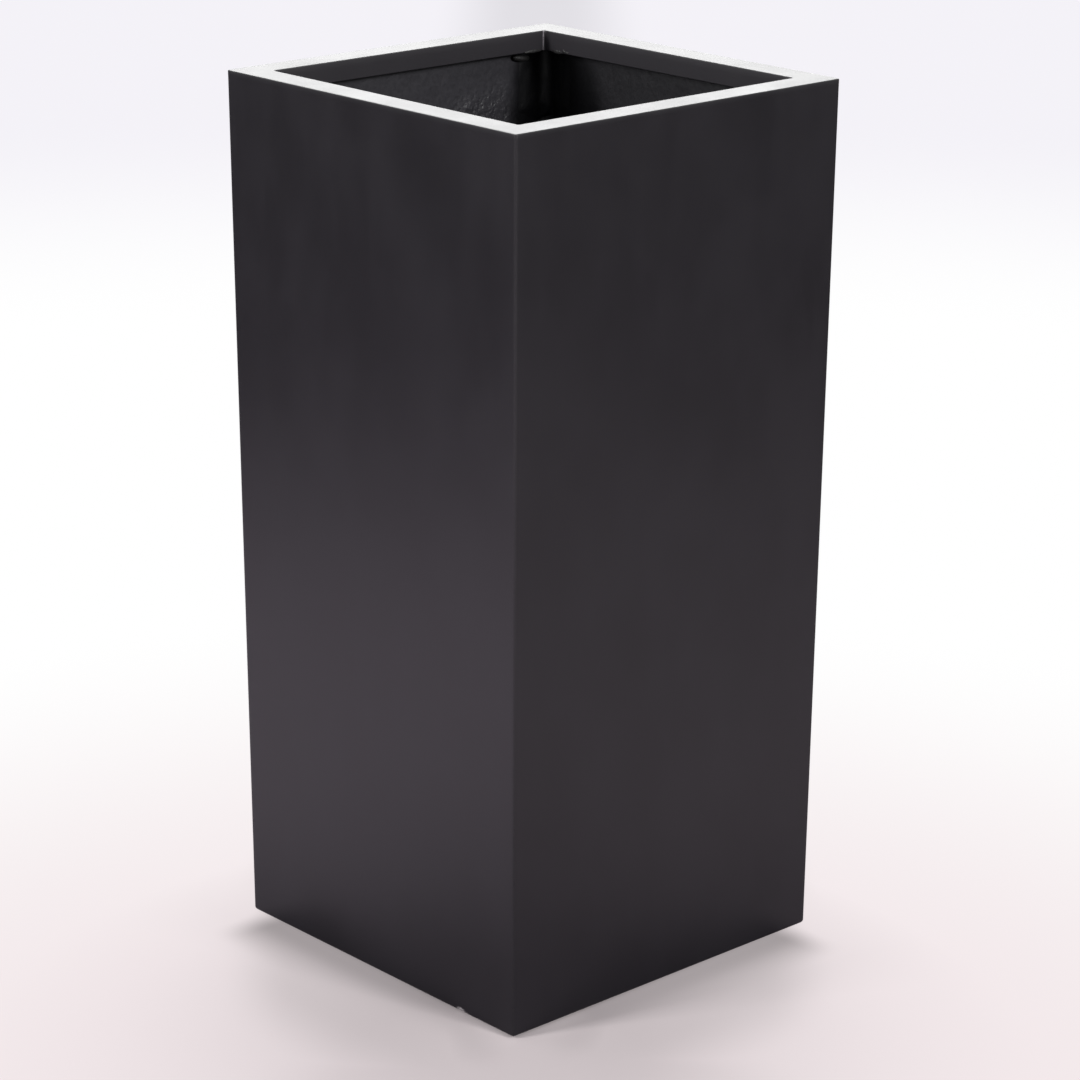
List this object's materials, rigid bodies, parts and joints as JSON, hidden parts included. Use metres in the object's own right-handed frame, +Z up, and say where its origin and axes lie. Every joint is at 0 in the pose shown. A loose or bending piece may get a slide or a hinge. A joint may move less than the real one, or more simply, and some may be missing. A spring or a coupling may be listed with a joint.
{
  "type": "tall square planter",
  "caption": "Tall square laminate planter with slightly flared walls, a flat return rim with a turned-down lip, a raised base, a lift-out drain plug and foot pads.",
  "frame": {"origin": "on the floor under the middle of the base", "axes": "+Z up along the planter; +X and +Y square to the walls; the front is the -Y wall"},
  "size_m": [0.36, 0.36, 0.762],
  "materials": {
    "satin_laminate": "satin black sprayed coat on glass-reinforced laminate",
    "bonding_paste": "tooled paste under a black flow coat",
    "mat_and_resin": "glass mat wetted with black resin, glossy where it pooled",
    "black_rubber": "moulded rubber"
  },
  "bodies": {
    "planter": {"body_shell": "satin_laminate", "rim_frame": "satin_laminate", "rim_bond_bead": "bonding_paste", "corner_patch_front_left": "mat_and_resin", "corner_patch_front_right": "mat_and_resin", "corner_patch_back_right": "mat_and_resin", "corner_patch_back_left": "mat_and_resin", "foot_pad_front_left": "black_rubber", "foot_pad_front_right": "black_rubber", "foot_pad_back_right": "black_rubber", "foot_pad_back_left": "black_rubber"},
    "drain_plug": {"drain_plug": "black_rubber"}
  },
  "joints": [
    {"name": "drain_plug_lift", "type": "slide", "parent": "planter", "child": "drain_plug", "axis": [0, 0, 1], "range_m": [0, 0.78]}
  ]
}
